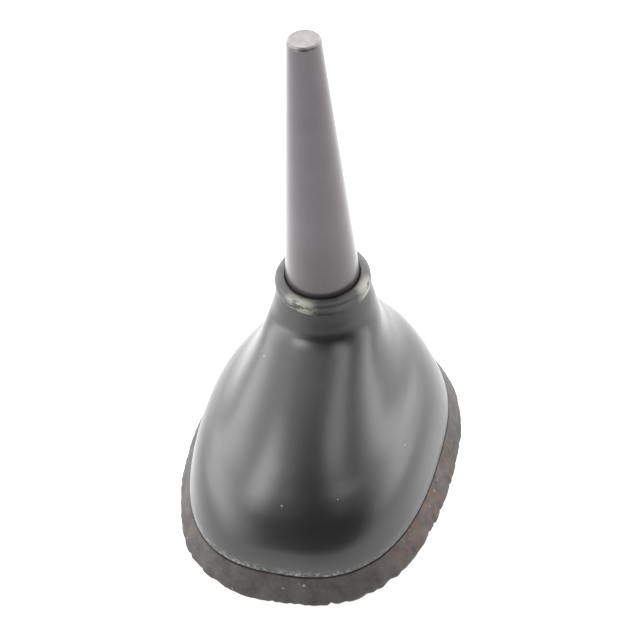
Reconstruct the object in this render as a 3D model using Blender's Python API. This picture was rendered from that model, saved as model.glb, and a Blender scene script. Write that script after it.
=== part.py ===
"""Vehicle roof aerial with a screw-on stub mast.

Drop-shaped moulded cover on a rubber gasket, a short tapered mast that screws into an insulated
socket in the neck, a matching board inside, and a hollow threaded stud that clamps it to a roof.
The origin is on the stud's axis, in the plane of the roof's outer skin. +Z is up, and the long,
blunt end of the cover points along -Y. Sizes below are in millimetres; the meshes are in metres.
"""

import math

import bmesh
import bpy
import numpy as np

MM = 0.001
GAP = 0.3                      # left between faces that touch

# Heights above the roof skin
GASKET_HEIGHT = 5.5
FOOT_Z = 46.1                  # plane of the mast's foot
MAST_LENGTH = 59.7
NECK_TOP_Z = 43.8
STUD_END_Z = -22.0
ROOF_GRIP = 2.3                # room left under the gasket for the roof skin and its stiffener

# Plan
MAST_Y = 10.0                  # mast axis, behind the stud's axis
PLAN_SEGMENTS = 48
GASKET_FLARE = 3.2             # how far the gasket's foot stands outside the cover
WALL = 1.5                     # of the moulded cover

# Cover sections, from the neck down: depth below the mast's foot, half width, reach ahead of the
# mast's axis, reach behind it, and how far ahead of it the section is widest.
COVER_SECTIONS = [
    (2.3, 9.3, 9.3, 9.3, 0.0),
    (6.0, 10.7, 10.8, 10.8, 0.0),
    (8.3, 11.3, 11.9, 11.6, 0.4),
    (9.3, 11.6, 13.0, 11.9, 0.9),
    (12.0, 12.5, 17.7, 12.9, 2.8),
    (14.0, 13.2, 21.5, 13.8, 4.6),
    (17.0, 14.6, 27.0, 15.6, 7.2),
    (20.0, 16.3, 32.0, 18.2, 9.6),
    (22.5, 17.9, 35.8, 19.9, 11.0),
    (24.5, 19.5, 38.5, 21.2, 11.8),
    (27.0, 21.9, 41.7, 22.8, 12.3),
    (29.5, 23.9, 44.4, 24.3, 12.2),
    (32.0, 25.3, 46.4, 25.3, 11.4),
    (35.0, 26.4, 48.2, 26.1, 10.0),
    (38.5, 27.3, 49.5, 26.6, 8.7),
    (40.6, 27.6, 49.9, 26.8, 8.0),
]
BASE_DEPTH = COVER_SECTIONS[-1][0]
FRONT_FULLNESS = 2.63          # superellipse exponent of the base outline's blunt front
REAR_FULLNESS = 2.1

# Mast
MAST_FOOT_R = 7.95
MAST_TIP_R = 3.3
TIP_FACE_HEIGHT = 0.9
WINDING_TURNS = 12
WINDING_R = 2.4
WINDING_WIRE_R = 0.35
CAVITY_LOW_Z = 54.0            # the sleeve's hollow for the core and its winding
CAVITY_TOP_Z = 97.8

# Socket and contact
THREAD_R = 2.85                # M6 thread, drawn plain
SOCKET_BORE_R = 3.2
SOCKET_R = 4.5
SPRING_TURNS = 5
SPRING_R = 2.25
SPRING_WIRE_R = 0.3
SPRING_TOP_Z = 32.7
SPRING_LOW_Z = 24.1
SOCKET_TOP_Z = 44.6
SOCKET_COLLAR_Z = 30.0         # top of the ring that keeps the socket in its insulator
SEAL_SEAT_Z = 34.8             # underside of the neck, where the inner seal presses
SEAL_SEAT_R = 8.8
NECK_BORE_R = 6.3

# Stud, washer and nut
STUD_R = 6.0                   # M12 thread, drawn plain
STUD_BORE_R = 4.4
CABLE_BORE_R = 3.1
NUT_ACROSS_FLATS = 17.0
NUT_HEIGHT = 5.0
CLAW_TEETH = 12
WASHER_R = 11.5
WASHER_HEIGHT = 2.0

# Board and screws
BOARD_Z = 13.0
BOARD_THICKNESS = 1.6
PLATE_LOW_Z = 2.3
PLATE_TOP_Z = 6.3
COVER_SCREWS = [(-17.5, -20.0), (17.5, -20.0), (-14.0, 20.0), (14.0, 20.0)]
BOARD_SCREWS = [(0.0, -23.0), (-9.5, 13.0), (9.5, 13.0)]
SCREW_R = 1.2                  # threads of the screws that hold the cover
SCREW_HEAD_R = 2.5
BOARD_SCREW_R = 0.9
PILLAR_R = 2.6                 # pillars that carry the board
PEG_Y = 25.0
PEG_R = 2.0
PEG_LOW_Z = -2.5

FINISHES = {
    "moulded_cover": ((0.052, 0.052, 0.055), 0.38, 0.0),
    "neck_rubber": ((0.09, 0.09, 0.085), 0.6, 0.0),
    "gasket_rubber": ((0.075, 0.068, 0.062), 0.8, 0.0),
    "mast_coating": ((0.12, 0.105, 0.115), 0.32, 0.2),
    "tip_metal": ((0.45, 0.41, 0.4), 0.35, 0.8),
    "brass": ((0.66, 0.48, 0.2), 0.3, 1.0),
    "steel": ((0.55, 0.55, 0.56), 0.35, 1.0),
    "tinned_steel": ((0.62, 0.62, 0.6), 0.3, 1.0),
    "die_cast": ((0.5, 0.5, 0.5), 0.5, 1.0),
    "copper_wire": ((0.72, 0.36, 0.2), 0.3, 1.0),
    "white_plastic": ((0.75, 0.74, 0.7), 0.45, 0.0),
    "board_laminate": ((0.03, 0.18, 0.07), 0.45, 0.0),
    "glass_fibre": ((0.7, 0.66, 0.5), 0.5, 0.0),
}


# ---------------------------------------------------------------- helpers

def clear_scene():
    for existing in list(bpy.data.objects):
        bpy.data.objects.remove(existing, do_unlink=True)


def finish(name):
    """A new Principled material with the named finish."""
    colour, roughness, metallic = FINISHES[name]
    material = bpy.data.materials.new(name)
    material.use_nodes = True
    shader = material.node_tree.nodes["Principled BSDF"]
    shader.inputs["Base Color"].default_value = (*colour, 1.0)
    shader.inputs["Roughness"].default_value = roughness
    shader.inputs["Metallic"].default_value = metallic
    material.diffuse_color = (*colour, 1.0)
    return material


def new_object(name, vertices, faces, finish_name=None, parent=None, location=(0, 0, 0)):
    """A mesh object from points in millimetres, with its faces turned outwards."""
    mesh = bpy.data.meshes.new(name)
    mesh.from_pydata([[c * MM for c in v] for v in vertices], [], faces)
    work = bmesh.new()
    work.from_mesh(mesh)
    bmesh.ops.recalc_face_normals(work, faces=work.faces)
    work.to_mesh(mesh)
    work.free()
    mesh.shade_smooth()
    mesh.set_sharp_from_angle(angle=math.radians(34))
    made = bpy.data.objects.new(name, mesh)
    bpy.context.collection.objects.link(made)
    made.location = [c * MM for c in location]
    made.parent = parent
    if finish_name:
        mesh.materials.append(finish(finish_name))
    return made


def skin(name, rings, finish_name=None, hollow=False, parent=None, location=(0, 0, 0)):
    """Joins rings of points, in order. Hollow joins the last ring to the first; else ends are capped."""
    count = len(rings[0])
    vertices = [point for ring in rings for point in ring]
    faces = []
    spans = len(rings) if hollow else len(rings) - 1
    for i in range(spans):
        low, high = i * count, (i + 1) % len(rings) * count
        for j in range(count):
            k = (j + 1) % count
            faces.append((low + j, low + k, high + k, high + j))
    if not hollow:
        faces.append(tuple(range(count)))
        faces.append(tuple(range(len(vertices) - count, len(vertices))))
    return new_object(name, vertices, faces, finish_name, parent, location)


def circle(radius, z, segments):
    turns = [2 * math.pi * i / segments for i in range(segments)]
    return [(radius * math.sin(t), -radius * math.cos(t), z) for t in turns]


def turned(name, profile, finish_name=None, hollow=False, segments=28, parent=None,
           location=(0, 0, 0)):
    """A turned piece from (radius, z) pairs, about the Z axis through its own origin."""
    rings = [circle(r, z, segments) for r, z in profile]
    return skin(name, rings, finish_name, hollow, parent, location)


def tube_profile(outer, inner, low, high):
    return [(outer, low), (outer, high), (inner, high), (inner, low)]


def rod(name, radius, low, high, x=0.0, y=0.0, segments=24):
    return turned(name, [(radius, low), (radius, high)], segments=segments, location=(x, y, 0))


def box(name, size, centre, finish_name=None):
    half = [s / 2 for s in size]
    ring = [(-half[0], -half[1]), (half[0], -half[1]), (half[0], half[1]), (-half[0], half[1])]
    rings = [[(x, y, z) for x, y in ring] for z in (-half[2], half[2])]
    return skin(name, rings, finish_name, location=centre)


def join_in(target, tool, operation):
    """Adds a Boolean that unites or cuts with a hidden tool object."""
    modifier = target.modifiers.new(tool.name, "BOOLEAN")
    modifier.operation = operation
    modifier.object = tool
    tool.hide_render = True
    tool.display_type = "WIRE"


def cut(target, tool):
    join_in(target, tool, "DIFFERENCE")


def unite(target, tool):
    join_in(target, tool, "UNION")


def coil(name, turns, coil_r, wire_r, low, high, finish_name, parent, steps=10, sides=4):
    """A helical wire with flat ends, wound about the parent's Z axis."""
    rings = []
    for i in range(turns * steps + 1):
        angle = 2 * math.pi * i / steps
        z = low + (high - low) * i / (turns * steps)
        ring = []
        for j in range(sides):
            lean = 2 * math.pi * j / sides
            radius = coil_r + wire_r * math.cos(lean)
            ring.append((radius * math.cos(angle), radius * math.sin(angle),
                         z + wire_r * math.sin(lean)))
        rings.append(ring)
    return skin(name, rings, finish_name, parent=parent)


def axis_empty(name, y):
    empty = bpy.data.objects.new(name, None)
    empty.location = (0, y * MM, 0)
    bpy.context.collection.objects.link(empty)
    return empty


# ---------------------------------------------------------------- cover outline

def section_at(z):
    """Half width, front reach, rear reach and widest point of the cover at a height."""
    table = np.array(COVER_SECTIONS)
    depth = min(max(FOOT_Z - z, table[0, 0]), table[-1, 0])
    slopes = np.gradient(table[:, 1:], table[:, 0], axis=0)
    i = min(int(np.searchsorted(table[:, 0], depth, side="right")) - 1, len(table) - 2)
    span = table[i + 1, 0] - table[i, 0]
    t = (depth - table[i, 0]) / span
    start = (1 + 2 * t) * (1 - t) ** 2 * table[i, 1:] + t * (1 - t) ** 2 * span * slopes[i]
    end = t * t * (3 - 2 * t) * table[i + 1, 1:] + t * t * (t - 1) * span * slopes[i + 1]
    return start + end


def cover_ring(z, inset=0.0, section_z=None, segments=PLAN_SEGMENTS):
    """The cover's outline at a height, moved inwards by the inset, as points about the origin."""
    section_z = z if section_z is None else section_z
    half_width, front, rear, widest = section_at(section_z)
    down = min(max((FOOT_Z - section_z - 5.0) / (BASE_DEPTH - 5.0), 0.0), 1.0)
    front_power = 2 + (FRONT_FULLNESS - 2) * down
    rear_power = 2 + (REAR_FULLNESS - 2) * down
    ring = []
    for i in range(segments):
        turn = 2 * math.pi * i / segments
        ahead = math.cos(turn)
        share = 0.5 + 0.25 * ahead * (3 - ahead * ahead)
        power = rear_power + (front_power - rear_power) * share
        per_front, per_rear = 1 / (front - widest - inset), 1 / (rear + widest - inset)
        per_length = per_rear + (per_front - per_rear) * share
        across = abs(math.sin(turn) / (half_width - inset))
        radius = (abs(ahead * per_length) ** power + across ** power) ** (-1 / power)
        ring.append((radius * math.sin(turn), MAST_Y - widest - radius * ahead, z))
    return ring


def base_ring(z, inset=0.0):
    """The cover's outline at its foot, placed at any height."""
    return cover_ring(z, inset, section_z=FOOT_Z - BASE_DEPTH)


def round_ring(radius, z):
    return [(x, y + MAST_Y, z) for x, y, z in circle(radius, z, PLAN_SEGMENTS)]


# ---------------------------------------------------------------- cover, collar and gasket

def make_housing_shell():
    outer_z = [GASKET_HEIGHT + GAP, 8.0, 11.0, 14.5, 18.0, 21.5, 25.0, 28.5, 32.0, 35.5, 39.0, 41.8]
    inner_z = [33.0, 30.0, 26.0, 22.0, 18.0, 14.0, 10.0, GASKET_HEIGHT + GAP]
    boss_r, front_boss_z, rear_boss_z, pilot_z = 3.0, 16.2, 17.0, 13.0
    rings = [cover_ring(z) for z in outer_z]
    rings.append(round_ring(9.3, NECK_TOP_Z))
    rings.append(round_ring(NECK_BORE_R, NECK_TOP_Z))
    rings.append(round_ring(NECK_BORE_R, SEAL_SEAT_Z))
    rings.append(round_ring(SEAL_SEAT_R, SEAL_SEAT_Z))
    rings.append(round_ring(SEAL_SEAT_R, SEAL_SEAT_Z - 1.4))
    rings += [cover_ring(z, WALL, section_z=z + 1.2) for z in inner_z]
    shell = skin("housing_shell", rings, "moulded_cover", hollow=True)
    for number, (x, y) in enumerate(COVER_SCREWS, 1):
        top = front_boss_z if y < 0 else rear_boss_z
        unite(shell, rod(f"boss_{number}", boss_r, PLATE_TOP_Z + GAP, top, x, y))
        cut(shell, rod(f"pilot_{number}", SCREW_R + GAP, PLATE_TOP_Z - 1, pilot_z, x, y, 16))


def make_neck_collar():
    profile = [(6.4, 44.1), (9.72, 44.1), (9.8, 43.4), (10.1, 43.45), (10.3, 44.5), (10.05, 45.6),
               (9.4, 46.35), (8.6, 46.5), (8.3, 46.15), (8.25, 44.9), (6.4, 44.9)]
    turned("neck_collar", profile, "neck_rubber", hollow=True, segments=36,
           location=(0, MAST_Y, 0))


def make_base_gasket():
    web_z, pocket_inset, opening_r = 2.0, 2.5, 8.0
    opening = [circle(opening_r, z, PLAN_SEGMENTS) for z in (web_z, 0.0)]
    rings = [
        opening[1],
        base_ring(0.0, -GASKET_FLARE),
        base_ring(1.4, -GASKET_FLARE + 0.2),
        base_ring(3.4, -1.5),
        base_ring(GASKET_HEIGHT - 0.3, -0.35),
        base_ring(GASKET_HEIGHT, -0.05),
        base_ring(GASKET_HEIGHT, pocket_inset),
        base_ring(web_z, pocket_inset),
        opening[0],
    ]
    gasket = skin("base_gasket", rings, "gasket_rubber", hollow=True)
    cut(gasket, rod("peg_opening", PEG_R + GAP, -1.0, web_z + 1, 0, PEG_Y))


# ---------------------------------------------------------------- base plate and roof fixing

def make_base_plate():
    inset, seat_z = 2.8, 4.6
    plate = skin("base_plate", [base_ring(z, inset) for z in (PLATE_LOW_Z, PLATE_TOP_Z)], "die_cast")
    for number, (x, y) in enumerate(BOARD_SCREWS, 1):
        unite(plate, rod(f"pillar_{number}", PILLAR_R, PLATE_TOP_Z - 1, BOARD_Z - GAP, x, y))
        cut(plate, rod(f"pillar_pilot_{number}", BOARD_SCREW_R + GAP, PLATE_TOP_Z + 1.7, BOARD_Z + 1,
                       x, y, 16))
    unite(plate, rod("locating_peg", PEG_R, PEG_LOW_Z, PLATE_LOW_Z + 1, 0, PEG_Y))
    through = (PLATE_LOW_Z - 2, PLATE_TOP_Z + 2)
    cut(plate, rod("stud_hole", STUD_R + GAP, *through, segments=36))
    for number, (x, y) in enumerate(COVER_SCREWS, 1):
        cut(plate, rod(f"screw_hole_{number}", SCREW_R + GAP, *through, x, y, 16))
        cut(plate, rod(f"screw_seat_{number}", SCREW_HEAD_R + 0.4, PLATE_LOW_Z - 2, seat_z, x, y))


def make_mounting_stud():
    flange_r, flange_low, flange_high = 9.0, PLATE_TOP_Z + GAP, PLATE_TOP_Z + GAP + 1.5
    profile = [(STUD_BORE_R, STUD_END_Z), (STUD_R - 0.7, STUD_END_Z), (STUD_R, STUD_END_Z + 0.7),
               (STUD_R, flange_low), (flange_r, flange_low), (flange_r, flange_high),
               (STUD_BORE_R, flange_high)]
    turned("mounting_stud", profile, "steel", hollow=True, segments=36)


def make_cable_gland():
    sleeve_r, flange_r = STUD_BORE_R - GAP, 5.6
    flange_top, sleeve_top = STUD_END_Z - GAP, STUD_END_Z + 10.0
    low = flange_top - 1.5
    profile = [(CABLE_BORE_R, low), (flange_r - 0.5, low), (flange_r, low + 0.5),
               (flange_r, flange_top), (sleeve_r, flange_top), (sleeve_r, sleeve_top),
               (CABLE_BORE_R, sleeve_top)]
    turned("cable_gland", profile, "gasket_rubber", hollow=True)


def make_claw_washer(parent):
    """A cupped ring whose rim is raised into teeth at every other point."""
    inner_r, rim_width, tooth_height = STUD_R + 0.4, 1.4, 0.9
    low = -ROOF_GRIP - WASHER_HEIGHT
    tooth_foot = -ROOF_GRIP - tooth_height
    web_z = tooth_foot - 0.2
    count = 2 * CLAW_TEETH
    crown = []
    for i, (x, y, _) in enumerate(circle(WASHER_R, 0, count)):
        crown.append((x, y, tooth_foot + tooth_height * (i % 2)))
    rings = [circle(inner_r, low, count), circle(WASHER_R, low, count), crown,
             circle(WASHER_R - rim_width, web_z, count), circle(inner_r, web_z, count)]
    skin("claw_washer", rings, "steel", hollow=True, parent=parent)


def make_clamp_nut(parent):
    top = -ROOF_GRIP - WASHER_HEIGHT - GAP
    low = top - NUT_HEIGHT
    segments = 36
    flat_r = NUT_ACROSS_FLATS / 2
    hexagon = []
    for i in range(segments):
        turn = 2 * math.pi * i / segments
        off_flat = (turn + math.pi / 6) % (math.pi / 3) - math.pi / 6
        radius = flat_r / math.cos(off_flat)
        hexagon.append((radius * math.sin(turn), -radius * math.cos(turn)))
    bore_r = STUD_R + GAP
    rings = [
        circle(bore_r, low, segments),
        circle(flat_r - 0.2, low, segments),
        [(x, y, low + 0.5) for x, y in hexagon],
        [(x, y, top - 0.5) for x, y in hexagon],
        circle(flat_r - 0.2, top, segments),
        circle(bore_r, top, segments),
    ]
    skin("clamp_nut", rings, "steel", hollow=True, parent=parent)


def make_cover_screws():
    for number, (x, y) in enumerate(COVER_SCREWS, 1):
        head_low, head_top, tip = PLATE_LOW_Z + GAP, 4.2, 12.4
        profile = [(SCREW_HEAD_R - 0.3, head_low), (SCREW_HEAD_R, head_low + 0.3),
                   (SCREW_HEAD_R, head_top), (SCREW_R, head_top), (SCREW_R, tip - 0.9), (0.5, tip)]
        turned(f"housing_screw_{number}", profile, "steel", segments=20, location=(x, y, 0))


# ---------------------------------------------------------------- board and what it carries

def make_circuit_board():
    half_width, front, rear, corner, hole_r = 13.0, -27.0, 16.5, 2.0, 1.3
    corners = [(half_width - corner, front + corner, -90), (half_width - corner, rear - corner, 0),
               (corner - half_width, rear - corner, 90), (corner - half_width, front + corner, 180)]
    outline = []
    for x, y, first in corners:
        for step in range(4):
            turn = math.radians(first + 30 * step)
            outline.append((x + corner * math.cos(turn), y + corner * math.sin(turn)))
    rings = [[(x, y, z) for x, y in outline] for z in (BOARD_Z, BOARD_Z + BOARD_THICKNESS)]
    board = skin("circuit_board", rings, "board_laminate")
    for number, (x, y) in enumerate(BOARD_SCREWS, 1):
        cut(board, rod(f"board_hole_{number}", hole_r, BOARD_Z - 1, BOARD_Z + 3, x, y, 16))


def make_board_screws():
    top = BOARD_Z + BOARD_THICKNESS + GAP
    for number, (x, y) in enumerate(BOARD_SCREWS, 1):
        tip, head_r = 8.8, 1.9
        profile = [(0.4, tip), (BOARD_SCREW_R, tip + 0.6), (BOARD_SCREW_R, top), (head_r, top),
                   (head_r, top + 0.8), (head_r - 0.6, top + 1.2)]
        turned(f"board_screw_{number}", profile, "steel", segments=16, location=(x, y, 0))


def make_contact_pad():
    low = BOARD_Z + BOARD_THICKNESS + GAP
    turned("contact_pad", [(3.0, low), (3.0, low + 0.5)], "brass", segments=24,
           location=(0, MAST_Y, 0))


def make_shield_can():
    low = BOARD_Z + BOARD_THICKNESS + GAP
    long, wide, tall, sheet, y = 16.0, 13.0, 4.6, 0.5, -12.5
    can = box("shield_can", (long, wide, tall), (0, y, low + tall / 2), "tinned_steel")
    cut(can, box("can_hollow", (long - 2 * sheet, wide - 2 * sheet, tall), (0, y, low + tall / 2 - sheet)))


def make_tuning_coil():
    low = BOARD_Z + BOARD_THICKNESS + GAP
    profile = [(1.6, low + 0.6), (2.2, low), (3.4, low), (4.0, low + 0.6), (4.0, low + 2.4),
               (3.4, low + 3.0), (2.2, low + 3.0), (1.6, low + 2.4)]
    turned("tuning_coil", profile, "copper_wire", hollow=True, segments=20, location=(-7.5, 0, 0))


def make_coax_terminal():
    high = BOARD_Z - GAP
    tall, y = 4.2, -15.0
    block = box("coax_terminal", (8.0, 7.0, tall), (0, y, high - tall / 2), "brass")
    hole = rod("lead_hole", 1.5, -6, 6, 0, y)
    hole.rotation_euler = (math.pi / 2, 0, 0)
    hole.location.z = (high - tall / 2) * MM
    cut(block, hole)


# ---------------------------------------------------------------- socket and sprung contact

def make_socket_bush():
    """Blind threaded socket above, spring chamber with a crimped mouth below."""
    chamber_r, mouth_r, mouth_z = 3.0, 1.8, 20.0
    profile = [
        (SOCKET_BORE_R, SOCKET_TOP_Z), (SOCKET_R, SOCKET_TOP_Z), (SOCKET_R, SOCKET_COLLAR_Z),
        (6.5, SOCKET_COLLAR_Z), (6.5, SOCKET_COLLAR_Z - 2), (SOCKET_R, SOCKET_COLLAR_Z - 2),
        (SOCKET_R, mouth_z + 0.6), (SOCKET_R - 0.6, mouth_z), (mouth_r, mouth_z),
        (mouth_r, mouth_z + 1.5), (chamber_r, mouth_z + 1.5), (chamber_r, 33.0),
    ]
    rings = [circle(r, z, 28) for r, z in [(SOCKET_BORE_R, 35.0)] + profile]
    skin("socket_bush", rings, "brass", location=(0, MAST_Y, 0))


def make_insulator_bush():
    tube_r, bore_r, flange_r = 6.0, SOCKET_R + GAP, 8.2
    low, flange_top = SOCKET_COLLAR_Z + GAP, 33.0
    profile = [(bore_r, low), (flange_r, low), (flange_r, flange_top), (tube_r, flange_top),
               (tube_r, SOCKET_TOP_Z), (bore_r, SOCKET_TOP_Z)]
    turned("insulator_bush", profile, "white_plastic", hollow=True, location=(0, MAST_Y, 0))


def make_inner_seal():
    profile = tube_profile(SEAL_SEAT_R - 0.4, NECK_BORE_R, SEAL_SEAT_Z - 1.5, SEAL_SEAT_Z - GAP)
    turned("inner_seal", profile, "neck_rubber", hollow=True, location=(0, MAST_Y, 0))


def make_contact_pin(parent):
    head_r, stem_r, point_z, head_z = 2.7, 1.45, 15.7, 22.0
    profile = [(0.7, point_z), (stem_r, point_z + 0.8), (stem_r, head_z), (head_r, head_z),
               (head_r, head_z + 1.5)]
    turned("contact_pin", profile, "brass", segments=24, parent=parent)


# ---------------------------------------------------------------- mast

def make_mast_sleeve(parent):
    top_z = FOOT_Z + MAST_LENGTH - TIP_FACE_HEIGHT - GAP
    taper = (MAST_FOOT_R - MAST_TIP_R) / MAST_LENGTH
    cavity_r, stem_r, ferrule_r = 3.2, 2.0, 5.6
    foot = FOOT_Z + 0.1

    def cone_r(z):
        return MAST_FOOT_R - taper * (z - FOOT_Z)

    outer = [(cone_r(foot) - 0.3, foot), (cone_r(foot), foot + 0.4)]
    outer += [(cone_r(z), z) for z in (60.0, 75.0, 90.0, top_z)]
    inner = [(stem_r, top_z), (stem_r, CAVITY_TOP_Z + 0.6), (cavity_r - 0.5, CAVITY_TOP_Z),
             (cavity_r, CAVITY_LOW_Z), (ferrule_r, CAVITY_LOW_Z), (ferrule_r, foot)]
    turned("mast_sleeve", outer + inner, "mast_coating", hollow=True, segments=36, parent=parent)


def make_mast_tip(parent):
    high, chamfer = FOOT_Z + MAST_LENGTH, 0.35
    low = high - TIP_FACE_HEIGHT
    stem_r, stem_z = 1.7, CAVITY_TOP_Z + 0.8
    profile = [(stem_r, stem_z), (stem_r, low), (MAST_TIP_R, low), (MAST_TIP_R, high - chamfer),
               (MAST_TIP_R - chamfer, high)]
    turned("mast_tip", profile, "tip_metal", segments=32, parent=parent)


def make_mast_core(parent):
    core_r, top = 1.6, CAVITY_TOP_Z + 0.5
    profile = [(core_r - 0.3, CAVITY_LOW_Z), (core_r, CAVITY_LOW_Z + 0.4), (core_r, top - 0.3),
               (core_r - 0.3, top)]
    turned("mast_core", profile, "glass_fibre", segments=20, parent=parent)


def make_mast_ferrule(parent):
    low, head_r, head_z = 36.0, 5.3, FOOT_Z + 0.4
    profile = [(2.2, low), (THREAD_R, low + 0.8), (THREAD_R, head_z), (head_r, head_z),
               (head_r, CAVITY_LOW_Z - GAP)]
    turned("mast_ferrule", profile, "brass", parent=parent)


def make_mast_seal_ring(parent):
    turned("mast_seal_ring", tube_profile(7.5, 3.4, FOOT_Z - 0.9, FOOT_Z - 0.2), "neck_rubber", hollow=True,
           segments=28, parent=parent)


def make_mast():
    lift = axis_empty("mast_lift_axis", MAST_Y)
    turn = axis_empty("mast_turn_axis", MAST_Y)
    make_mast_seal_ring(lift)
    make_mast_sleeve(turn)
    make_mast_tip(turn)
    make_mast_core(turn)
    make_mast_ferrule(turn)
    coil("mast_winding", WINDING_TURNS, WINDING_R, WINDING_WIRE_R, CAVITY_LOW_Z + 2,
         CAVITY_TOP_Z - 1.8, "copper_wire", turn)


def make_contact():
    press = axis_empty("contact_axis", MAST_Y)
    make_contact_pin(press)
    coil("contact_spring", SPRING_TURNS, SPRING_R, SPRING_WIRE_R, SPRING_LOW_Z,
         SPRING_TOP_Z - SPRING_WIRE_R, "steel", press)


def make_roof_clamp():
    drop = axis_empty("nut_drop_axis", 0)
    turn = axis_empty("nut_turn_axis", 0)
    make_claw_washer(drop)
    make_clamp_nut(turn)


def build():
    clear_scene()
    make_housing_shell()
    make_neck_collar()
    make_base_gasket()
    make_base_plate()
    make_mounting_stud()
    make_cable_gland()
    make_roof_clamp()
    make_cover_screws()
    make_circuit_board()
    make_board_screws()
    make_contact_pad()
    make_shield_can()
    make_tuning_coil()
    make_coax_terminal()
    make_socket_bush()
    make_insulator_bush()
    make_inner_seal()
    make_contact()
    make_mast()


build()
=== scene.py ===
"""The looks of the roof aerial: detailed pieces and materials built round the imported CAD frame."""

import math

import bmesh
import bpy
import numpy as np
from mathutils import Matrix, Vector, noise


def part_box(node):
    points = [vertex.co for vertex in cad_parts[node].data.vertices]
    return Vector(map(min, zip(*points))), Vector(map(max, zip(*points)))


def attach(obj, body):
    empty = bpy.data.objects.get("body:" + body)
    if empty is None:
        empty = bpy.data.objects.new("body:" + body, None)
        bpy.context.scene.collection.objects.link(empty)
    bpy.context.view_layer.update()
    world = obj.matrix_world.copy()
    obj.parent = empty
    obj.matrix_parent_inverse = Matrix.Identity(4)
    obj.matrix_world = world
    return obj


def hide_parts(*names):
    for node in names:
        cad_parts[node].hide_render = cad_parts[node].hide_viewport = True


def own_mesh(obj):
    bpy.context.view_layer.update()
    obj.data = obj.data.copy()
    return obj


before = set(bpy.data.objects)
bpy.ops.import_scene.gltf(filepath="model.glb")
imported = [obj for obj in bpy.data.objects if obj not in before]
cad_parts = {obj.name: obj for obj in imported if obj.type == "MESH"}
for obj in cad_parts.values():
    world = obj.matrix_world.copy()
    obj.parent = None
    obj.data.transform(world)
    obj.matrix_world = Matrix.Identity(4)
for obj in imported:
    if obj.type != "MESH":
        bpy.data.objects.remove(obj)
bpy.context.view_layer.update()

MM = 0.001


def heights_of(node):
    """The lowest and highest z of a CAD node, in millimetres."""
    low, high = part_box(node)
    return low.z / MM, high.z / MM


# Heights and plan of the aerial, in millimetres, read from the frame where the frame has them
SLEEVE_LIFT = 0.1              # the mast's sleeve starts this far above its foot plane
GASKET_TOP = heights_of("base_gasket")[1]
FOOT_Z = heights_of("mast_sleeve")[0] - SLEEVE_LIFT
TIP_Z = heights_of("mast_tip")[1]
COVER_LOW_Z, NECK_TOP_Z = heights_of("housing_shell")
MAST_Y = (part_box("mast_sleeve")[0].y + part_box("mast_sleeve")[1].y) / 2 / MM
GASKET_FLARE = 3.2
GASKET_CENTRE = Vector((0.0, -2.0))

# The cover's horizontal sections: depth below the mast's foot, half width, reach ahead of the mast,
# reach behind it, and how far ahead of the mast the section is widest. Its sides have a soft shoulder.
COVER_SECTIONS = np.array([
    (2.3, 9.3, 9.3, 9.3, 0.0),
    (6.0, 10.7, 10.8, 10.8, 0.0),
    (8.3, 11.3, 11.9, 11.6, 0.4),
    (9.3, 11.6, 13.0, 11.9, 0.9),
    (12.0, 12.5, 17.7, 12.9, 2.8),
    (14.0, 13.2, 21.5, 13.8, 4.6),
    (17.0, 14.6, 27.0, 15.6, 7.2),
    (20.0, 16.3, 32.0, 18.2, 9.6),
    (22.5, 17.9, 35.8, 19.9, 11.0),
    (24.5, 19.5, 38.5, 21.2, 11.8),
    (27.0, 21.9, 41.7, 22.8, 12.3),
    (29.5, 23.9, 44.4, 24.3, 12.2),
    (32.0, 25.3, 46.4, 25.3, 11.4),
    (35.0, 26.4, 48.2, 26.1, 10.0),
    (38.5, 27.3, 49.5, 26.6, 8.7),
    (40.6, 27.6, 49.9, 26.8, 8.0),
])
BASE_DEPTH = COVER_SECTIONS[-1, 0]
ROUND_DEPTH = 5.0              # down to this depth the sections are plain ellipses
FRONT_FULLNESS, REAR_FULLNESS = 2.63, 2.1      # superellipse powers at the cover's foot

SHARP_ANGLE = 34.0             # degrees between faces from which an edge is shaded sharp
CORNER_STEPS = 4               # pieces in a rounded corner
CORNER_SHARE = 1 / 2.2         # most of a side that one rounded corner may take


# ================================================================ mesh helpers

def clamp(value, low=0.0, high=1.0):
    return max(low, min(high, value))


def new_piece(name, vertices, faces, sharp_angle):
    """A mesh object from points in millimetres, with faces outwards and smooth shading."""
    mesh = bpy.data.meshes.new(name)
    mesh.from_pydata([(x * MM, y * MM, z * MM) for x, y, z in vertices], [], faces)
    work = bmesh.new()
    work.from_mesh(mesh)
    bmesh.ops.recalc_face_normals(work, faces=work.faces)
    work.to_mesh(mesh)
    work.free()
    mesh.shade_smooth()
    mesh.set_sharp_from_angle(angle=math.radians(sharp_angle))
    piece = bpy.data.objects.new(name, mesh)
    bpy.context.scene.collection.objects.link(piece)
    return piece


def skin(name, rings, hollow=False, sharp_angle=SHARP_ANGLE):
    """Joins rings of points in order; hollow joins the last to the first, else the ends are capped."""
    count = len(rings[0])
    vertices = [p for ring in rings for p in ring]
    faces = []
    for i in range(len(rings) if hollow else len(rings) - 1):
        low, high = i * count, (i + 1) % len(rings) * count
        for j in range(count):
            k = (j + 1) % count
            faces.append((low + j, low + k, high + k, high + j))
    if not hollow:
        last = len(vertices) - count
        faces += cap(vertices, 0, count)
        faces += cap(vertices, last, count)
    return new_piece(name, vertices, faces, sharp_angle)


def cap(vertices, first, count):
    """A fan from a new centre point over the ring that starts at first."""
    ring = vertices[first:first + count]
    middle = tuple(sum(p[i] for p in ring) / count for i in range(3))
    vertices.append(middle)
    centre = len(vertices) - 1
    return [(first + j, first + (j + 1) % count, centre) for j in range(count)]


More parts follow.
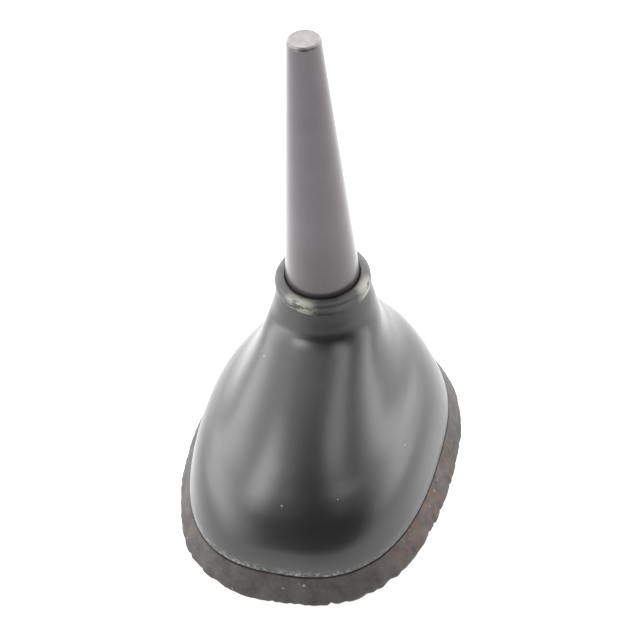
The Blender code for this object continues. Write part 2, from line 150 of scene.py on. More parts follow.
def circle(radius, z, segments, y=0.0):
    """Points round a vertical axis, starting at the front."""
    turns = [2 * math.pi * i / segments for i in range(segments)]
    return [(radius * math.sin(t), y - radius * math.cos(t), z) for t in turns]


def turned(name, profile, segments, y=0.0, hollow=False):
    """A turned piece from a list of radii and heights."""
    return skin(name, [circle(r, z, segments, y) for r, z in profile], hollow)


def rounded_loop(points, radius):
    """A closed (radius, z) outline with every corner replaced by a short arc-like curve."""
    out = []
    count = len(points)
    for i in range(count):
        before, corner, after = (Vector(points[j % count]) for j in (i - 1, i, i + 1))
        back, ahead = before - corner, after - corner
        reach = min(radius, back.length * CORNER_SHARE, ahead.length * CORNER_SHARE)
        start, end = corner + back.normalized() * reach, corner + ahead.normalized() * reach
        for step in range(CORNER_STEPS + 1):
            t = step / CORNER_STEPS
            p = start * (1 - t) ** 2 + corner * 2 * t * (1 - t) + end * t * t
            out.append((p.x, p.y))
    return out


def smooth_between(table, depth):
    """The table's row at a depth, by cubic pieces that never overshoot its rows."""
    knots, values = table[:, 0], table[:, 1:]
    step = np.diff(knots)[:, None]
    secant = np.diff(values, axis=0) / step
    slopes = np.zeros(values.shape)
    slopes[0], slopes[-1] = secant[0], secant[-1]
    before, after = secant[:-1], secant[1:]
    same_way = before * after > 0
    weight_before, weight_after = 2 * step[1:] + step[:-1], step[1:] + 2 * step[:-1]
    parts = weight_before / np.where(same_way, before, 1) + weight_after / np.where(same_way, after, 1)
    slopes[1:-1] = np.where(same_way, (weight_before + weight_after) / parts, 0)
    depth = clamp(depth, knots[0], knots[-1])
    i = min(int(np.searchsorted(knots, depth, side="right")) - 1, len(knots) - 2)
    span = knots[i + 1] - knots[i]
    t = (depth - knots[i]) / span
    from_row = (1 + 2 * t) * (1 - t) ** 2 * values[i] + t * (1 - t) ** 2 * span * slopes[i]
    from_next = t * t * (3 - 2 * t) * values[i + 1] + t * t * (t - 1) * span * slopes[i + 1]
    return from_row + from_next


def section_ring(z, inset=0.0, section_z=None, segments=256):
    """The cover's outline at a height, moved inwards; section_z takes the shape from another height."""
    depth = FOOT_Z - (z if section_z is None else section_z)
    half_width, front, rear, widest = smooth_between(COVER_SECTIONS, depth)
    down = clamp((depth - ROUND_DEPTH) / (BASE_DEPTH - ROUND_DEPTH))
    turns = 2 * np.pi * np.arange(segments) / segments
    ahead, across = np.cos(turns), np.sin(turns)
    share = 0.5 + 0.25 * ahead * (3 - ahead * ahead)      # 0 at the rear to 1 at the front, smoothly
    front_power, rear_power = 2 + (FRONT_FULLNESS - 2) * down, 2 + (REAR_FULLNESS - 2) * down
    power = rear_power + (front_power - rear_power) * share
    per_front, per_rear = 1 / (front - widest), 1 / (rear + widest)
    per_length = per_rear + (per_front - per_rear) * share
    reach = (np.abs(ahead * per_length) ** power + np.abs(across / half_width) ** power) ** (-1 / power)
    reach = reach - inset
    centre_y = MAST_Y - widest
    return [(float(r * x), float(centre_y - r * y), z) for r, x, y in zip(reach, across, ahead)]


def base_ring(z, inset, segments):
    """The outline of the cover's foot, put at another height."""
    return section_ring(z, inset, FOOT_Z - BASE_DEPTH, segments)


def set_attribute(piece, name, values):
    attribute = piece.data.attributes.new(name, "FLOAT", "POINT")
    attribute.data.foreach_set("value", np.asarray(values, np.float32))


# ================================================================ node helpers

class Graph:
    """A small builder for one node tree: each call adds nodes and returns their output."""

    def __init__(self, tree, coordinate):
        self.tree = tree
        self.place = self.node("ShaderNodeTexCoord").outputs[coordinate]

    def node(self, kind, **settings):
        made = self.tree.nodes.new(kind)
        for key, value in settings.items():
            setattr(made, key, value)
        return made

    def link(self, source, target):
        self.tree.links.new(source, target)

    def feed(self, socket, value):
        if isinstance(value, bpy.types.NodeSocket):
            self.link(value, socket)
        else:
            socket.default_value = value

    def axis(self, index):
        made = self.node("ShaderNodeSeparateXYZ")
        self.link(self.place, made.inputs[0])
        return made.outputs[index]

    def math(self, operation, a, b=0.0, clamp=False):
        made = self.node("ShaderNodeMath", operation=operation, use_clamp=clamp)
        self.feed(made.inputs[0], a)
        self.feed(made.inputs[1], b)
        return made.outputs[0]

    def remap(self, value, low, high, to_low=0.0, to_high=1.0, curve="SMOOTHSTEP"):
        """A value from its own range to a new one, clamped."""
        made = self.node("ShaderNodeMapRange", interpolation_type=curve)
        for socket, number in zip(("From Min", "From Max", "To Min", "To Max"),
                                  (low, high, to_low, to_high)):
            made.inputs[socket].default_value = number
        self.link(value, made.inputs["Value"])
        return made.outputs["Result"]


class Shade(Graph):
    """The same for one material, placed by the object's own coordinates."""

    def __init__(self, name):
        self.material = bpy.data.materials.new(name)
        self.material.use_nodes = True
        super().__init__(self.material.node_tree, "Object")
        self.shader = self.tree.nodes["Principled BSDF"]

    def scaled(self, scale):
        made = self.node("ShaderNodeMapping")
        made.inputs["Scale"].default_value = scale
        self.link(self.place, made.inputs["Vector"])
        return made.outputs["Vector"]

    def noise(self, scale, detail, roughness=0.55, vector=None):
        made = self.node("ShaderNodeTexNoise")
        made.inputs["Scale"].default_value = scale
        made.inputs["Detail"].default_value = detail
        made.inputs["Roughness"].default_value = roughness
        self.link(vector or self.place, made.inputs["Vector"])
        return made.outputs["Fac"]

    def stretched(self, scale, detail, roughness):
        """Noise with its own scale along each axis."""
        return self.noise(1.0, detail, roughness, self.scaled(scale))

    def cloud(self, scale, detail):
        """Soft noise that covers 0 to 1."""
        return self.remap(self.noise(scale, detail), 0.3, 0.7)

    def spread(self, value, low, high):
        """Noise laid over a narrow range, as for roughness."""
        return self.remap(value, 0.2, 0.8, low, high)

    def cells(self, scale, feature="F1"):
        made = self.node("ShaderNodeTexVoronoi", feature=feature)
        made.inputs["Scale"].default_value = scale
        self.link(self.place, made.inputs["Vector"])
        return made.outputs["Distance"]

    def attribute(self, name):
        return self.node("ShaderNodeAttribute", attribute_name=name).outputs["Fac"]

    def both(self, a, b):
        """The product of two masks."""
        return self.math("MULTIPLY", a, b, clamp=True)

    def mix(self, share, a, b):
        made = self.node("ShaderNodeMix", data_type="RGBA")
        self.link(share, made.inputs["Factor"])
        for socket, colour in ((made.inputs[6], a), (made.inputs[7], b)):
            self.feed(socket, colour if isinstance(colour, bpy.types.NodeSocket) else (*colour, 1.0))
        return made.outputs[2]

    def over(self, colour, mask, strength, tint):
        """A colour with a tint laid over it where a mask says so."""
        return self.mix(self.math("MULTIPLY", mask, strength), colour, tint)

    def bump(self, height, strength, distance_mm):
        made = self.node("ShaderNodeBump")
        made.inputs["Strength"].default_value = strength
        made.inputs["Distance"].default_value = distance_mm * MM
        self.link(height, made.inputs["Height"])
        return made.outputs["Normal"]

    def done(self, colour, roughness, normal=None, **constants):
        self.link(colour, self.shader.inputs["Base Color"])
        self.feed(self.shader.inputs["Roughness"], roughness)
        if normal is not None:
            self.link(normal, self.shader.inputs["Normal"])
        for key, value in constants.items():
            self.shader.inputs[key.replace("_", " ")].default_value = value
        return self.material


def dress(piece, material, slot, body, *replaced):
    """Gives a piece its material and its body, and hides the CAD it stands for. Its slot is not used."""
    piece.data.materials.clear()
    piece.data.materials.append(material)
    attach(piece, body)
    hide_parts(*replaced)


# ================================================================ materials

def cover_plastic():
    """Satin moulding: faint orange peel, dust specks, and pale chafing along its lower edge."""
    dark, light = (0.0058, 0.0056, 0.0060), (0.0080, 0.0077, 0.0082)
    chafed, dusty = (0.20, 0.21, 0.20), (0.30, 0.29, 0.27)
    s = Shade("cover_plastic")
    colour = s.mix(s.cloud(60, 3), dark, light)
    chips = s.remap(s.noise(1100, 6, 0.75), 0.47, 0.60)
    chafe = s.both(s.remap(s.attribute("edge"), 0.1, 0.95), chips)
    colour = s.over(colour, chafe, 0.7, chafed)
    specks = s.remap(s.cells(260), 0.085, 0.05)
    rare = s.remap(s.noise(170, 2), 0.60, 0.64)
    colour = s.over(colour, s.both(specks, rare), 0.3, dusty)
    roughness = s.spread(s.noise(90, 1, 0.5), 0.285, 0.315)
    peel = s.noise(520, 1, 0.5)
    height = s.math("ADD", peel, s.math("MULTIPLY", chafe, -0.8))
    return s.done(colour, roughness, s.bump(height, 0.35, 0.03))


def collar_rubber():
    """Dark rubber ring, rubbed to a dull grey-green where hands and brushes reached it."""
    dark, light, rubbed = (0.005, 0.0052, 0.0046), (0.012, 0.0122, 0.011), (0.20, 0.20, 0.17)
    s = Shade("collar_rubber")
    breakup = s.remap(s.stretched((380, 380, 900), 5, 0.65), 0.40, 0.54)
    worn = s.both(s.attribute("scuff"), breakup)
    colour = s.over(s.mix(s.cloud(150, 4), dark, light), worn, 0.8, rubbed)
    roughness = s.spread(s.noise(300, 4), 0.38, 0.6)
    height = s.math("ADD", s.noise(1100, 5, 0.65), s.math("MULTIPLY", worn, 0.7))
    return s.done(colour, roughness, s.bump(height, 0.5, 0.06))


def gasket_rubber():
    """Weathered rubber: dull, mottled, rust-brown in patches, with pale grit in its pores."""
    dark, light = (0.009, 0.0082, 0.0076), (0.026, 0.023, 0.0208)
    rusty, gritty = (0.060, 0.026, 0.018), (0.22, 0.20, 0.18)
    s = Shade("gasket_rubber")
    mottle = s.remap(s.noise(330, 7, 0.72), 0.36, 0.64)
    rust = s.both(s.attribute("rust"), s.remap(s.noise(420, 6, 0.7), 0.38, 0.62))
    grit = s.math("MULTIPLY", s.remap(s.cells(560), 0.20, 0.12), s.remap(s.noise(190, 3), 0.53, 0.60))
    colour = s.over(s.mix(mottle, dark, light), rust, 0.6, rusty)
    colour = s.over(colour, grit, 0.6, gritty)
    roughness = s.spread(s.noise(300, 4), 0.62, 0.82)
    height = s.math("ADD", s.noise(800, 6, 0.7), s.math("MULTIPLY", grit, 0.6))
    return s.done(colour, roughness, s.bump(height, 0.6, 0.10))


def mast_coating():
    """Semi-gloss dark coating with a faint purple cast, a darker band high up and fine turning marks."""
    dark, light = (0.034, 0.026, 0.031), (0.042, 0.033, 0.038)
    banded, darker_foot_tone = (0.026, 0.019, 0.024), (0.020, 0.017, 0.018)
    s = Shade("mast_coating")
    length = s.remap(s.axis(2), FOOT_Z * MM, TIP_Z * MM)
    band = s.math("MULTIPLY", s.remap(length, 0.74, 0.80), s.remap(length, 0.90, 0.82))
    colour = s.over(s.mix(s.cloud(90, 4), dark, light), band, 0.35, banded)
    # Darker towards the mast's foot, over the lowest sixth of its length.
    colour = s.over(colour, s.remap(length, 0.16, 0.0), 0.8, darker_foot_tone)
    rings = s.stretched((60, 60, 5200), 3, 0.6)
    smear = s.stretched((160, 160, 50), 1, 0.5)
    return s.done(colour, s.spread(smear, 0.285, 0.305), s.bump(rings, 0.05, 0.01),
                  Coat_Weight=0.25, Coat_Roughness=0.12)


def tip_metal():
    """Dull turned metal with specks of dirt."""
    dark, light, dirty = (0.100, 0.088, 0.088), (0.125, 0.112, 0.112), (0.05, 0.045, 0.043)
    s = Shade("tip_metal")
    rings = s.stretched((200, 200, 4000), 2, 0.5)
    dirt = s.remap(s.noise(1500, 5, 0.7), 0.60, 0.72)
    colour = s.over(s.mix(s.cloud(700, 5), dark, light), dirt, 0.4, dirty)
    roughness = s.spread(s.noise(900, 4), 0.34, 0.5)
    return s.done(colour, roughness, s.bump(rings, 0.15, 0.02), Metallic=0.55)


def plain_metal(name, light, dark, roughness, grain=(300, 300, 3000)):
    """Plated or cast metal with fine marks and a little tarnish."""
    s = Shade(name)
    tarnish = s.remap(s.noise(260, 5, 0.6), 0.35, 0.68)
    marks = s.stretched(grain, 4, 0.6)
    rough = s.spread(marks, roughness - 0.07, roughness + 0.09)
    return s.done(s.mix(tarnish, light, dark), rough, s.bump(marks, 0.2, 0.03), Metallic=1.0)


def moulded(name, light, dark, roughness):
    """Plain moulded part: slight colour drift and a soft grain."""
    s = Shade(name)
    colour = s.mix(s.cloud(180, 4), light, dark)
    rough = s.spread(s.noise(400, 4), roughness - 0.06, roughness + 0.08)
    return s.done(colour, rough, s.bump(s.noise(1500, 3), 0.25, 0.03))


def board_laminate():
    """Green solder mask over a faint woven substrate, with paler copper lanes under it."""
    mask_green, lane_green = (0.012, 0.10, 0.035), (0.03, 0.20, 0.07)
    s = Shade("board_laminate")
    lanes = s.remap(s.cells(260, feature="DISTANCE_TO_EDGE"), 0.06, 0.02)
    weave = s.stretched((3000, 3000, 200), 2, 0.5)
    colour = s.mix(s.math("MULTIPLY", lanes, 0.8), mask_green, lane_green)
    return s.done(colour, s.remap(weave, 0.3, 0.7, 0.3, 0.42), s.bump(weave, 0.2, 0.02))


# ================================================================ pieces

def chafe_at(x, y, z):
    """How chafed the cover's outside is: only near its foot, most at the front, less to the right."""
    reach_up, least = 2.6, 0.45
    near = max(0.0, 1 - (z - COVER_LOW_Z) / reach_up)
    front = clamp((-10 - y) / 18)
    left = clamp((22 - x) / 14, 0.3)
    return near * (least + (1 - least) * front * left)


def make_cover(material):
    """The moulded shell: fine outer skin, rolled lower edge, and the inner skin behind it."""
    segments, edge_steps, outer_steps = 288, 4, 120
    edge_r, neck_bevel = 0.45, 0.25
    neck_r, bore_r, seal_r = 9.05, 6.3, 8.8
    bore_low, seal_low = 34.8, 33.4
    wall, roof_drop = 1.5, 1.2         # the inner skin is inset, and lower than the skin it follows
    inner_heights = (33.0, 30.0, 26.0, 22.0, 18.0, 14.0, 10.0, COVER_LOW_Z)

    rings = []
    for i in range(edge_steps + 1):
        lean = math.pi / 2 * i / edge_steps
        rings.append(section_ring(COVER_LOW_Z + edge_r * (1 - math.cos(lean)),
                                  edge_r * (1 - math.sin(lean)), segments=segments))
    start, top = COVER_LOW_Z + edge_r, NECK_TOP_Z - neck_bevel
    for i in range(1, outer_steps + 1):
        rings.append(section_ring(start + (top - start) * i / outer_steps, segments=segments))
    chafe = [chafe_at(*point) for ring in rings for point in ring]
    rings += [circle(r, z, segments, MAST_Y) for r, z in (
        (neck_r, NECK_TOP_Z), (bore_r, NECK_TOP_Z), (bore_r, bore_low), (seal_r, bore_low),
        (seal_r, seal_low))]
    rings += [section_ring(z, wall, z + roof_drop, segments) for z in inner_heights]
    chafe += [0.0] * (len(rings) * segments - len(chafe))

    piece = skin("cover_shell", rings, hollow=True, sharp_angle=40)
    set_attribute(piece, "edge", chafe)
    dress(piece, material, "moulded_cover", "base", "housing_shell")


def ripple(turn, frequency, seed):
    """Noise round a circle that meets itself after a turn."""
    return noise.noise(Vector((math.cos(turn) * frequency, math.sin(turn) * frequency, seed)))


def rubber_loss(turn):
    """How far the gasket's foot is eaten away at a direction: slow waves, bites and small nicks."""
    tear = 0.35 + 0.65 * max(0.0, math.cos(turn - 0.35))       # worst a little right of the front
    bites = 0.4 * max(0.0, ripple(turn, 11.0, 9.0)) ** 0.8
    nicks = 0.5 * max(0.0, ripple(turn, 34.0, 2.0))
    return 0.15 + 0.3 * ripple(turn, 3.0, 4.0) + tear * (bites + nicks)


def rust_at(x, y):
    """Share of rust on the gasket: some everywhere, most on its right flank."""
    rust_x, rust_y, spread, everywhere = 24, -14, 26, 0.12
    side = max(0.0, 1 - math.hypot(x - rust_x, y - rust_y) / spread) if x > 0 else 0.0
    return min(1.0, side * 1.6) + everywhere


def make_gasket(material):
    """Flared rubber skirt. Its foot is eaten away in notches and its wall is slightly wavy."""
    segments = 360
    # share of the gasket's height, and share of its flare there
    stations = [(0.0, 1.0), (0.04, 1.0), (0.12, 0.98), (0.25, 0.86), (0.4, 0.7), (0.55, 0.53),
                (0.7, 0.35), (0.82, 0.2), (0.92, 0.09), (0.975, 0.03), (1.0, 0.0)]
    loss_depth, loss_lift, lift_from = 1.5, 0.9, 0.2
    rim, recess_z, bore_r, lip = 2.5, 2.0, 8.0, 1.2

    outline = []
    for x, y, _ in base_ring(0, 0.0, segments):
        out = Vector((x, y)) - GASKET_CENTRE
        outline.append((out, rubber_loss(math.atan2(out.x, -out.y))))
    rings = []
    for share, flare in stations:
        raggedness = (1 - share) ** 1.5
        ring = []
        for out, loss in outline:
            grow = GASKET_FLARE * flare - max(0.0, loss) * raggedness * loss_depth
            lift = max(0.0, loss - lift_from) * raggedness * loss_lift
            point = GASKET_CENTRE + out.normalized() * (out.length + grow)
            ring.append((point.x, point.y, share * GASKET_TOP + lift * (1 - share)))
        rings.append(ring)
    rings += [base_ring(GASKET_TOP, rim * 0.5, segments), base_ring(GASKET_TOP, rim, segments),
              base_ring(recess_z, rim, segments), circle(bore_r, recess_z, segments),
              circle(bore_r, 0.0, segments), base_ring(0.0, lip, segments)]

    piece = skin("gasket_skirt", rings, hollow=True, sharp_angle=50)
    set_attribute(piece, "rust", [rust_at(x, y) for ring in rings for x, y, _ in ring])
    dress(piece, material, "gasket_rubber", "base", "base_gasket")


def scuff_at(turn, centre_deg, spread_deg):
    """Wear round one place on the collar, from 1 at its centre to 0 at its spread."""
    off = (math.degrees(turn) - centre_deg + 180) % 360 - 180
    return max(0.0, 1 - (off / spread_deg) ** 2)


def make_collar(material):
    """Rolled rubber ring with a slightly uneven, rubbed crown."""
    outline = [(6.4, 44.1), (9.72, 44.1), (9.8, 43.3), (10.15, 43.35), (10.3, 44.2), (10.2, 45.6),
               (9.7, 46.15), (8.6, 46.35), (8.03, 46.3), (8.03, 44.9), (6.4, 44.9)]
    segments, corner_r = 160, 0.24
    crown_r, crown_width = 8.2, 1.2            # the crown begins at this radius and is full after the width
    wobble_share, wobble_lift = 0.006, 0.06
    scuffs = ((-16, 24), (79, 20))             # degrees from the front, and half the spread

    rings, scuff = [], []
    for radius, z in rounded_loop(outline, corner_r):
        crown = clamp((radius - crown_r) / crown_width)
        ring = []
        for i, (x, y, _) in enumerate(circle(radius, z, segments, MAST_Y)):
            turn = 2 * math.pi * i / segments
            wobble = noise.noise(Vector((math.sin(turn) * 3, math.cos(turn) * 3, z * 0.7)))
            grow = 1 + wobble_share * wobble * crown
            ring.append((x * grow, MAST_Y + (y - MAST_Y) * grow, z + wobble_lift * wobble * crown))
            scuff.append(crown * max(scuff_at(turn, *place) for place in scuffs))
        rings.append(ring)

    piece = skin("collar_ring", rings, hollow=True, sharp_angle=50)
    set_attribute(piece, "scuff", scuff)
    dress(piece, material, "neck_rubber", "base", "neck_collar")


def make_mast_sleeve(material):
    """The tapered outer body of the mast, with the cavity that its winding sits in."""
    foot_r, tip_r, tip_height = 7.95, 3.3, 0.5
    foot, top = FOOT_Z + SLEEVE_LIFT, TIP_Z - tip_height
    bevel, steps = 0.15, 40
    stem_r, stem_low = 2.0, 98.4
    cavity_top_r, cavity_top = 2.7, 97.8
    cavity_r, cavity_low, ferrule_r = 3.2, 54.0, 5.6

    def cone_r(z):
        return foot_r - (foot_r - tip_r) * (z - FOOT_Z) / (TIP_Z - FOOT_Z)

    outer = [(cone_r(foot) - 0.12, foot), (cone_r(foot) - 0.03, foot + 0.04),
             (cone_r(foot), foot + bevel)]
    heights = [foot + bevel + (top - foot - 2 * bevel) * i / steps for i in range(1, steps + 1)]
    outer += [(cone_r(z), z) for z in heights]
    outer.append((cone_r(top) - 0.12, top))
    inner = [(stem_r, top), (stem_r, stem_low), (cavity_top_r, cavity_top), (cavity_r, cavity_low),
             (ferrule_r, cavity_low), (ferrule_r, foot)]
    piece = turned("mast_cone", outer + inner, 128, MAST_Y, hollow=True)
    dress(piece, material, "mast_coating", "mast", "mast_sleeve")


def make_mast_tip(material):
    """The flat disc on the mast's end, with a slightly dished face and its stem."""
    low, stem_r, stem_low, rim_r = TIP_Z - 0.44, 1.7, 98.6, 3.26
    profile = [(stem_r, stem_low), (stem_r, low), (3.1, low), (rim_r, low + 0.08),
               (3.24, TIP_Z - 0.3), (2.95, TIP_Z - 0.05), (2.88, TIP_Z), (2.2, TIP_Z - 0.02),
               (1.2, TIP_Z - 0.03), (0.4, TIP_Z - 0.03)]
    piece = turned("mast_end", profile, 96, MAST_Y)
    dress(piece, material, "tip_metal", "mast", "mast_tip")


def thread_rings(radius, depth, low, high, segments, steps, y=0.0, pitch=1.0):
    """Rings of a helical thread whose depth fades out at both ends."""
    crest, flank = 0.12, 0.76          # shares of half a pitch
    count = int(round((high - low) / pitch * steps))
    rings = []
    for i in range(count + 1):
        z = low + (high - low) * i / count
        fade = max(0.0, min(1.0, (z - low) / pitch, (high - z) / pitch))
        ring = []
        for j in range(segments):
            turn = 2 * math.pi * j / segments
            phase = ((z / pitch) - turn / (2 * math.pi)) % 1.0
            ridge = abs(2 * phase - 1)
            r = radius - depth * clamp((ridge - crest) / flank) * fade
            ring.append((r * math.sin(turn), y - r * math.cos(turn), z))
        rings.append(ring)
    return rings


def make_stud(material):
    """The hollow threaded stud with its round head."""
    low, high = heights_of("mounting_stud")
    segments, bore_r, thread_r, thread_depth = 72, 4.4, 6.0, 0.6
    end_r, end_low_r, end_bevel = 5.45, 5.2, 0.3
    thread_low, thread_high, shank_z = low + 0.9, -0.5, 1.0
    head_r, head_height, head_bevel = 9.0, 1.5, 0.3
    head_low = high - head_height
    rings = [circle(bore_r, low, segments), circle(end_low_r, low, segments),
             circle(end_r, low + end_bevel, segments)]
    rings += thread_rings(thread_r, thread_depth, thread_low, thread_high, segments, 10)
    rings += [circle(r, z, segments) for r, z in (
        (thread_r, shank_z), (thread_r, head_low), (head_r - head_bevel, head_low),
        (head_r, head_low + head_bevel), (head_r, high - head_bevel), (head_r - head_bevel, high),
        (bore_r, high))]
    piece = skin("threaded_stud", rings, hollow=True)
    dress(piece, material, "steel", "base", "mounting_stud")


def make_ferrule(material):
    """The mast's threaded foot, with the flange that its sleeve sits on."""
    low, high = heights_of("mast_ferrule")
    segments, thread_r, thread_depth = 72, 2.85, 0.55
    thread_low, thread_high = low + 0.5, 45.2
    neck_r, neck_low, flange_low = 2.5, 45.4, 46.5
    flange_r, bevel = 5.3, 0.2
    rings = [circle(1.9, low, segments, MAST_Y), circle(2.2, low + 0.1, segments, MAST_Y)]
    rings += thread_rings(thread_r, thread_depth, thread_low, thread_high, segments, 12, MAST_Y)
    rings += [circle(r, z, segments, MAST_Y) for r, z in (
        (neck_r, neck_low), (neck_r, flange_low), (flange_r - bevel, flange_low),
        (flange_r, flange_low + bevel), (flange_r, high - bevel), (flange_r - bevel, high))]
    piece = skin("threaded_ferrule", rings)
    dress(piece, material, "brass", "mast", "mast_ferrule")


def wire_coil(name, node, turns, coil_r, wire_r):
    """A helical round wire about the mast's axis, with closed ends, that fills a CAD node's height."""
    steps, sides = 36, 10
    low, high = heights_of(node)
    low, high = low + wire_r, high - wire_r
    rings = []
    for i in range(turns * steps + 1):
        turn = 2 * math.pi * i / steps
        z = low + (high - low) * i / (turns * steps)
        ring = []
        for j in range(sides):
            lean = 2 * math.pi * j / sides
            r = coil_r + wire_r * math.cos(lean)
            ring.append((r * math.cos(turn), MAST_Y + r * math.sin(turn), z + wire_r * math.sin(lean)))
        rings.append(ring)
    return skin(name, rings)


def make_contact_spring(material):
    """The contact's spring, which in the real aerial shortens towards its upper seat as the contact is
    pressed; here it keeps the one length of its CAD node.
    """
    piece = wire_coil("pressure_spring", "contact_spring", turns=5, coil_r=2.25, wire_r=0.3)
    dress(piece, material, "steel", "base", "contact_spring")
    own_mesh(piece)


def make_mast_winding(material):
    """The copper wire that shortens the radiator."""
    piece = wire_coil("loading_winding", "mast_winding", turns=12, coil_r=2.4, wire_r=0.35)
    dress(piece, material, "copper_wire", "mast", "mast_winding")


def make_nut(material):
    """A hexagon nut whose corners are chamfered on both faces."""
    low, high = heights_of("clamp_nut")
    segments, flat_r, face_r = 96, 8.5, 8.35
    bore_r, lead_r, lead_height = 6.3, 6.7, 0.4
    chamfer_width, chamfer_height, steps = 1.5, 0.8, 6
    hexagon = []
    for i in range(segments):
        turn = 2 * math.pi * i / segments
        off_flat = (turn + math.pi / 6) % (math.pi / 3) - math.pi / 6
        hexagon.append((flat_r / math.cos(off_flat), turn))

    def hex_ring(z, share):
        limit = face_r + chamfer_width * share
        return [(min(r, limit) * math.sin(t), -min(r, limit) * math.cos(t), z) for r, t in hexagon]

    shares = [i / steps for i in range(steps + 1)]
    rings = [circle(bore_r, low + lead_height, segments), circle(lead_r, low, segments)]
    rings += [hex_ring(low + chamfer_height * share, share) for share in shares]
    rings += [hex_ring(high - chamfer_height * share, share) for share in reversed(shares)]
    rings += [circle(lead_r, high, segments), circle(bore_r, high - lead_height, segments)]
    piece = skin("hex_nut", rings, hollow=True, sharp_angle=25)
    dress(piece, material, "steel", "nut", "clamp_nut")


def make_claw_washer(material):
    """A washer with a crown of teeth that bite the roof from below."""
    low, high = heights_of("claw_washer")
    teeth, per_tooth, tooth_height = 12, 8, 0.95
    count = teeth * per_tooth
    foot = high - tooth_height
    bore_r, rim_r = 6.4, 11.5
    face = foot - 0.1

    def crown(radius, share):
        ring = []
        for i, (x, y, _) in enumerate(circle(radius, 0, count)):
            rise = 1 - abs((i % per_tooth) / per_tooth * 2 - 1)
            ring.append((x, y, foot + tooth_height * share * rise ** 0.8))
        return ring

    rings = [circle(bore_r, low, count), circle(rim_r - 0.4, low, count), circle(rim_r, low + 0.3, count),
             crown(11.45, 1.0), crown(10.9, 0.9), crown(10.3, 0.15), circle(9.8, face, count),
             circle(bore_r + 0.3, face, count), circle(bore_r, face - 0.3, count)]
    piece = skin("tooth_washer", rings, hollow=True, sharp_angle=25)
    dress(piece, material, "steel", "washer_carriage", "claw_washer")


def make_gland(material):
    """The rubber sleeve in the stud's lower end, with its flange below."""
    low = heights_of("cable_gland")[0]
    bore_r, sleeve_r, flange_r, bevel = 3.1, 4.1, 5.6, 0.5
    flange_top, sleeve_top = -22.3, -12.0
    outline = [(bore_r, low), (flange_r - bevel, low), (flange_r, low + bevel), (flange_r, flange_top),
               (sleeve_r, flange_top), (sleeve_r, sleeve_top), (bore_r, sleeve_top)]
    piece = turned("gland_sleeve", rounded_loop(outline, 0.3), 64, hollow=True)
    dress(piece, material, "gasket_rubber", "base", "cable_gland")


def dress_frame_nodes(finishes):
    """CAD nodes whose shape is already right keep it and take a detailed material."""
    chosen = {
        "base_plate": "die_cast", "circuit_board": "laminate", "coax_terminal": "brass",
        "contact_pad": "brass", "contact_pin": "brass", "inner_seal": "seal",
        "insulator_bush": "insulator", "mast_core": "fibre", "mast_seal_ring": "seal",
        "shield_can": "tinned", "socket_bush": "brass", "tuning_coil": "copper",
    }
    chosen.update({f"housing_screw_{i}": "steel" for i in range(1, 5)})
    chosen.update({f"board_screw_{i}": "steel" for i in range(1, 4)})
    for node, finish in chosen.items():
        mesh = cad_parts[node].data
        mesh.materials.clear()
        mesh.materials.append(finishes[finish])


# ================================================================ studio, in metres

CAMERA_PLACE = (0.06698, -0.21045, 0.26589)
CAMERA_AIM = (0.00075, 0.00295, 0.03902)
CAMERA_ROLL = math.radians(-4.84)
CAMERA_LENS, SENSOR_WIDTH = 84.4, 36           # millimetres
CAMERA_NEAR = 0.01

DARK_TOWARDS = Vector((0.376, -0.847, 0.375))  # the tent's opening, behind the camera
TENT_BRIGHT, TENT_DARK = 5.0, 0.03
DARK_FROM, DARK_FULL = 0.12, 0.80              # cosines of the angle from the opening
BELT_HEIGHT, BELT_REACH = 0.28, 0.4            # the tent's bright belt, as sines of the elevation
BELT_BRIGHT, BELT_DIM = 1.55, 0.8
SEEN_BRIGHT = 1.2                              # what the camera itself sees behind the aerial

SOFTBOX_AIM, SOFTBOX_DISTANCE = (0, 0, 0.03), 0.9
FLOOR_HALF, FLOOR_GAP = 4.0, 0.0003


def look_at(thing, place, aim, roll=0.0):
    direction = Vector(aim) - Vector(place)
    turn = direction.to_track_quat("-Z", "Y").to_matrix().to_4x4()
    thing.matrix_world = Matrix.Translation(place) @ turn @ Matrix.Rotation(roll, 4, "Z")


def make_camera():
    data = bpy.data.cameras.new("camera")
    data.lens = CAMERA_LENS
    data.sensor_width = SENSOR_WIDTH
    data.clip_start = CAMERA_NEAR
    camera = bpy.data.objects.new("camera", data)
    bpy.context.scene.collection.objects.link(camera)
    look_at(camera, CAMERA_PLACE, CAMERA_AIM, CAMERA_ROLL)
    bpy.context.scene.camera = camera


def softbox(name, azimuth, elevation, width, height, power):
    """A rectangular lamp that looks at the aerial; azimuth 0 is in front, in degrees."""
    data = bpy.data.lights.new(name, "AREA")
    data.shape = "RECTANGLE"
    data.size, data.size_y, data.energy = width, height, power
    light = bpy.data.objects.new(name, data)
    bpy.context.scene.collection.objects.link(light)
    a, e = math.radians(azimuth), math.radians(elevation)
    towards = Vector((math.sin(a) * math.cos(e), -math.cos(a) * math.cos(e), math.sin(e)))
    look_at(light, Vector(SOFTBOX_AIM) + SOFTBOX_DISTANCE * towards, SOFTBOX_AIM)


def make_floor():
    """A wide sheet of pale paper just below the lowest point of the part."""
    half, z = FLOOR_HALF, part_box("cable_gland")[0].z - FLOOR_GAP
    mesh = bpy.data.meshes.new("floor")
    corners = [(-half, -half, z), (half, -half, z), (half, half, z), (-half, half, z)]
    mesh.from_pydata(corners, [], [(0, 1, 2, 3)])
    floor = bpy.data.objects.new("floor", mesh)
    bpy.context.scene.collection.objects.link(floor)
    s = Shade("floor_paper")
    tone = s.mix(s.noise(3, 2), (0.71, 0.71, 0.71), (0.75, 0.75, 0.75))
    mesh.materials.append(s.done(tone, 0.9, Specular_IOR_Level=0.1))


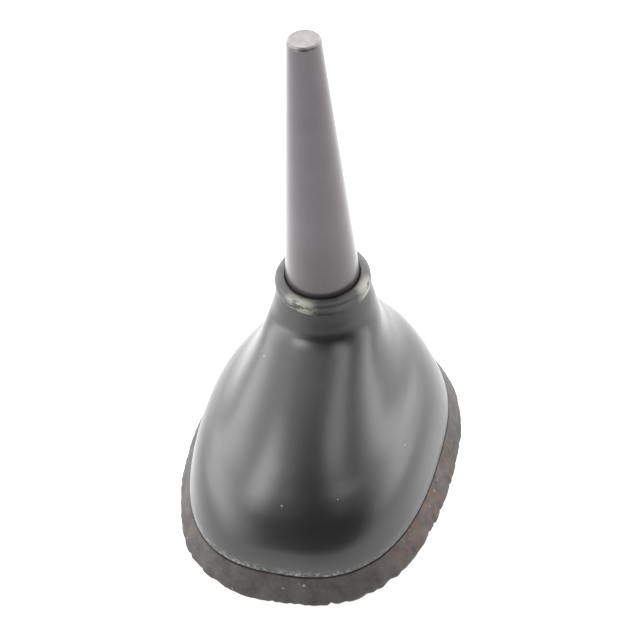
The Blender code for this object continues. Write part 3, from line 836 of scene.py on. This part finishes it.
def make_studio():
    """White tent: darker towards its opening behind the camera, brightest in a low belt all round,
    with a softbox at each side of the camera."""
    world = bpy.data.worlds.new("studio")
    bpy.context.scene.world = world
    world.use_nodes = True
    tent = Graph(world.node_tree, "Generated")
    ground = tent.tree.nodes["Background"]
    ground.inputs["Color"].default_value = (1, 1, 1, 1)

    dot = tent.node("ShaderNodeVectorMath", operation="DOT_PRODUCT")
    dot.inputs[1].default_value = DARK_TOWARDS
    tent.link(tent.place, dot.inputs[0])
    opening = tent.remap(dot.outputs["Value"], DARK_FROM, DARK_FULL, TENT_BRIGHT, TENT_DARK, "LINEAR")
    off_belt = tent.math("ABSOLUTE", tent.math("SUBTRACT", tent.axis(2), BELT_HEIGHT))
    belt = tent.remap(off_belt, 0.0, BELT_REACH, BELT_BRIGHT, BELT_DIM)

    strength = tent.node("ShaderNodeMix")
    tent.link(tent.node("ShaderNodeLightPath").outputs["Is Camera Ray"], strength.inputs["Factor"])
    tent.link(tent.math("MULTIPLY", opening, belt), strength.inputs[2])
    strength.inputs[3].default_value = SEEN_BRIGHT
    tent.link(strength.outputs[0], ground.inputs["Strength"])
    softbox("left_softbox", -42, 46, 0.30, 0.30, 2.6)
    softbox("right_softbox", 60, 57, 0.40, 0.30, 1.7)
    bpy.context.scene.view_settings.view_transform = "Standard"


def main():
    steel = plain_metal("zinc_plate", (0.26, 0.26, 0.265), (0.17, 0.165, 0.155), 0.36)
    brass = plain_metal("turned_brass", (0.38, 0.26, 0.10), (0.26, 0.17, 0.065), 0.3)
    finishes = {
        "steel": steel, "brass": brass,
        "seal": moulded("seal_rubber", (0.03, 0.03, 0.03), (0.05, 0.05, 0.048), 0.6),
        "die_cast": plain_metal("die_casting", (0.26, 0.26, 0.26), (0.18, 0.18, 0.175), 0.5,
                                grain=(900, 900, 900)),
        "tinned": plain_metal("tinned_sheet", (0.32, 0.32, 0.31), (0.24, 0.24, 0.225), 0.3),
        "copper": plain_metal("bare_copper", (0.42, 0.18, 0.09), (0.29, 0.12, 0.06), 0.28),
        "fibre": moulded("glass_fibre", (0.66, 0.62, 0.46), (0.56, 0.52, 0.38), 0.5),
        "insulator": moulded("insulator", (0.74, 0.73, 0.69), (0.64, 0.63, 0.58), 0.45),
        "laminate": board_laminate(),
    }
    make_cover(cover_plastic())
    make_gasket(gasket_rubber())
    make_collar(collar_rubber())
    make_mast_sleeve(mast_coating())
    make_mast_tip(tip_metal())
    make_stud(steel)
    make_ferrule(brass)
    make_contact_spring(steel)
    make_mast_winding(finishes["copper"])
    make_nut(steel)
    make_claw_washer(steel)
    make_gland(moulded("gland_rubber", (0.035, 0.034, 0.033), (0.055, 0.053, 0.05), 0.6))
    dress_frame_nodes(finishes)
    make_camera()
    make_floor()
    make_studio()


main()
